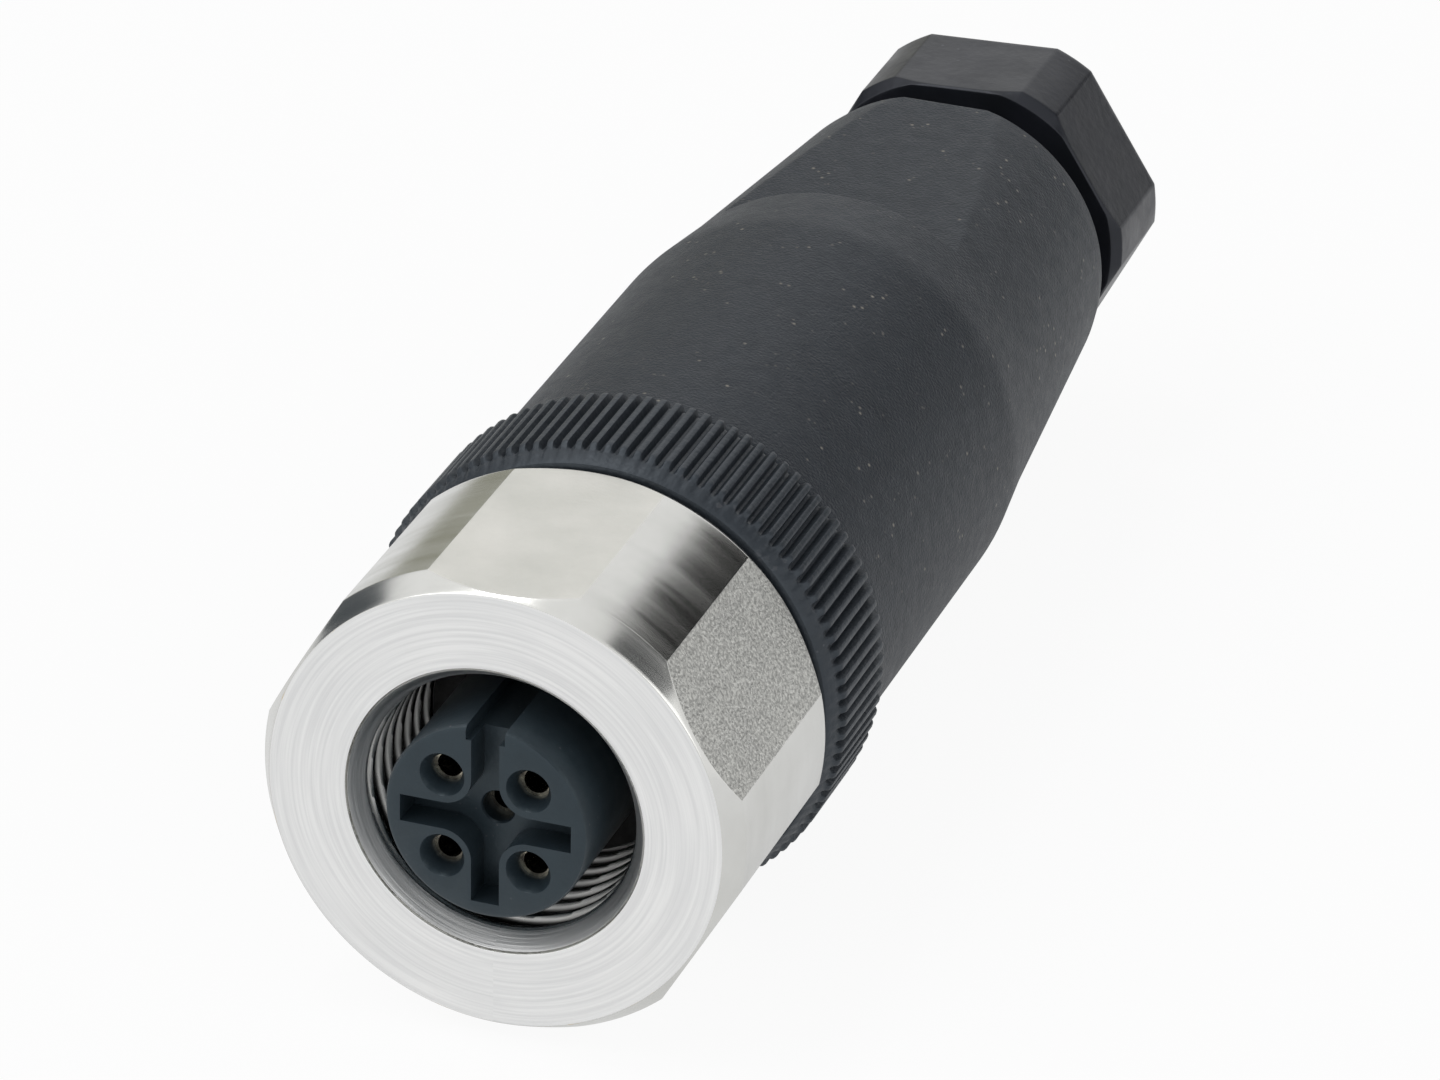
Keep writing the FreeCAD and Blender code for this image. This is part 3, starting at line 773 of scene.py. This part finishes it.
def make_pressing_screw(materials):
    """The pressing screw: a threaded shank and a hexagon with the cable's bore."""
    edges = flat_edges(HEXAGON_FLAT, HEXAGON_RADIUS, HEXAGON_TURN)[1]
    start, end = SHANK_THREAD
    rows = [start + SHANK_THREAD_ROW * k for k in range(50)]

    def crest(angle, y):
        share = fading(y, start, 0.5, end, 0.5) * (1 - thread_depth(angle, y, SHANK_THREAD_PITCH))
        return SHANK_RADIUS - SHANK_THREAD_DEPTH * share

    def outline_at(angle):
        reach = min(HEXAGON_RADIUS, flat_limit(angle, HEXAGON_FLAT, HEXAGON_TURN))
        before = rounded([
            (SCREW_FRONT, SCREW_BORE, 0.05),
            (SCREW_FRONT, SHANK_RADIUS - 0.3, 0.1),
            (start - 0.1, SHANK_RADIUS, 0.05),
        ])
        thread = [np.array((y, crest(angle, y))) for y in rows]
        after = rounded([
            (SHANK_END, SHANK_RADIUS, 0),
            (HEXAGON_FRONT, SHANK_RADIUS, 0),
            (HEXAGON_FRONT, min(reach, 7.2) - 0.08, 0.03),
            (HEXAGON_FRONT + 0.08 + 0.7 * max(0.0, reach - 7.0), reach, 0.05),
            (HEXAGON_REAR - 0.35, reach, 0.2),
            (HEXAGON_REAR, reach - 0.4, 0.15),
            (HEXAGON_REAR, SCREW_MOUTH, 0.1),
            (HEXAGON_REAR - 0.7, SCREW_BORE, 0.1),
        ])
        return before + thread + after

    angles = angles_with(SCREW_STEPS, edges, 0.8)
    piece = lathe("pressing_screw_hexagon", outline_at, angles, None, [materials["screw"]])
    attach(piece, "pressing_screw")
    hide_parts("pressing_screw")


# Contact carrier, cut from a turned blank

def solid(name, points, faces):
    """A closed piece of points in millimetres, with no material."""
    mesh = bpy.data.meshes.new(name)
    mesh.from_pydata([(x * MM, y * MM, z * MM) for x, y, z in points], [], faces)
    return finished(name, mesh, None, [])


def prism(name, outline, front, length):
    """A solid of an (X, Z) outline, from front towards +Y."""
    count = len(outline)
    points = [(x, y, z) for y in (front, front + length) for x, z in outline]
    faces = [tuple(range(count)), tuple(range(2 * count - 1, count - 1, -1))]
    faces += [(k, (k + 1) % count, count + (k + 1) % count, count + k) for k in range(count)]
    return solid(name, points, faces)


def rod(name, stations, centre, sides):
    """A turned solid of (radius, y) stations about a line parallel to Y, through an (X, Z) centre."""
    x, z = centre
    points = [(x, stations[0][1], z)]
    for radius, y in stations:
        for k in range(sides):
            a = 2 * math.pi * k / sides
            points.append((x + radius * math.sin(a), y, z + radius * math.cos(a)))
    points.append((x, stations[-1][1], z))
    last = len(points) - 1
    faces = []
    for k in range(sides):
        m = (k + 1) % sides
        faces.append((0, 1 + m, 1 + k))
        faces.append((last, last - sides + k, last - sides + m))
        for row in range(len(stations) - 1):
            low, high = 1 + row * sides, 1 + (row + 1) * sides
            faces.append((low + k, low + m, high + m, high + k))
    return solid(name, points, faces)


def box_shape(left, right, low, high):
    """The (X, Z) outline of a straight slot."""
    return [(left, low), (right, low), (right, high), (left, high)]


def middle_shape():
    """The middle of the cross: its corners run round the four outer holes."""
    near, far = SLOT_WIDTH / 2, PIN_CIRCLE / math.sqrt(2)
    steps = 16
    shape = []
    for quarter, (sx, sz) in enumerate(((1, 1), (-1, 1), (-1, -1), (1, -1))):
        arc = []
        for step in range(steps + 1):
            a = math.radians(180 + 90 * quarter) + math.radians(90) * step / steps
            arc.append((sx * far + (far - near) * math.cos(a), sz * far + (far - near) * math.sin(a)))
        shape += arc[::-1]
    return shape


def carrier_cutters():
    """What is cut from the carrier's blank: the slots, the key way and the contact holes."""
    face, over = CARRIER_FACE, 0.3
    front, deep = face - over, RECESS_DEPTH + over
    floor, rear = face + RECESS_DEPTH, CARRIER_END + 1
    half, side = SLOT_WIDTH / 2, KEY_WIDTH / 2
    rim = CARRIER_RADIUS + 1
    centre_hole = [
        (THROAT_RADIUS + 0.06, floor - 0.01),
        (THROAT_RADIUS, floor + 0.08),
        (THROAT_RADIUS, CENTRE_SOCKET_START),
        (SOCKET_RADIUS, CENTRE_SOCKET_START),
        (SOCKET_RADIUS, rear),
    ]
    cutters = [
        prism("cut_level", box_shape(-SLOT_REACH, SLOT_REACH, -half, half), front, deep),
        prism("cut_lower", box_shape(-half, half, -SLOT_REACH, 0.01), front, deep),
        prism("cut_key_arm", box_shape(-half, half, -0.01, rim), front, deep),
        prism("cut_middle", middle_shape(), front, deep),
        prism("cut_key_way", box_shape(-side, side, KEY_FLOOR, rim), front, KEY_LENGTH + over),
        rod("cut_centre", centre_hole, (0, 0), HOLE_SIDES),
    ]
    wider, ahead = HOLE_FLARE
    stations = [(HOLE_STATIONS[0][0] + wider, face + ahead)] + [(r, face + y) for r, y in HOLE_STATIONS]
    for number, angle in enumerate((45, 135, 225, 315), start=1):
        turn = math.radians(angle)
        centre = (PIN_CIRCLE * math.sin(turn), PIN_CIRCLE * math.cos(turn))
        cutters.append(rod("cut_hole_%d" % number, stations, centre, HOLE_SIDES))
    return cutters


def make_carrier(materials):
    """The contact carrier: a turned blank with exact cuts and softened edges."""
    face = CARRIER_FACE
    blank = rod("carrier_insert", [
        (CARRIER_RADIUS - CARRIER_BEVEL, face),
        (CARRIER_RADIUS - CARRIER_BEVEL * 0.35, face + 0.07),
        (CARRIER_RADIUS, face + CARRIER_BEVEL),
        (CARRIER_RADIUS, CARRIER_END),
    ], (0, 0), BLANK_SIDES)
    cutters = carrier_cutters()
    for cutter in cutters:
        step = blank.modifiers.new(cutter.name, "BOOLEAN")
        step.operation = "DIFFERENCE"
        step.solver = "EXACT"
        step.object = cutter
    bpy.context.view_layer.update()
    cut = bpy.data.meshes.new_from_object(blank.evaluated_get(bpy.context.evaluated_depsgraph_get()))
    for spare in cutters + [blank]:
        bpy.data.objects.remove(spare)
    cut.name = "carrier_insert"
    cut.materials.clear()
    piece = finished("carrier_insert", cut, None, [materials["insert"]], 30)
    soften = piece.modifiers.new("edges", "BEVEL")
    soften.width = CARRIER_EDGE * MM
    soften.segments = 2
    soften.limit_method = "ANGLE"
    soften.angle_limit = math.radians(40)
    soften.use_clamp_overlap = True
    soften.harden_normals = True
    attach(piece, "carrier")
    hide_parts("contact_carrier")


def dress_nodes(materials):
    """Gives the CAD nodes that are carried over their materials."""
    chosen = {
        "carrier_bush": "bush", "front_seal": "seal", "sleeve_seal": "seal", "terminal_block": "ring",
        "gland_seal": "seal", "clamp_cage": "cage", "thrust_washer": "steel",
    }
    for number in range(1, 6):
        chosen["contact_%d" % number] = "painted_shade_gold"
        chosen["terminal_screw_%d" % number] = "steel"
    for node, finish in chosen.items():
        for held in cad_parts[node].material_slots:
            held.material = materials[finish]


bpy.context.scene.view_settings.view_transform = "Standard"
make_camera()
make_world()
make_floor()
for lamp in LAMPS:
    make_light(*lamp)
for flag in FLAGS:
    make_flag(*flag)
finishes = {**make_metals(), **make_plastics()}
make_nut(finishes)
make_collar(finishes)
make_spigot(finishes)
make_sleeve(finishes)
make_pressing_screw(finishes)
make_carrier(finishes)
dress_nodes(finishes)
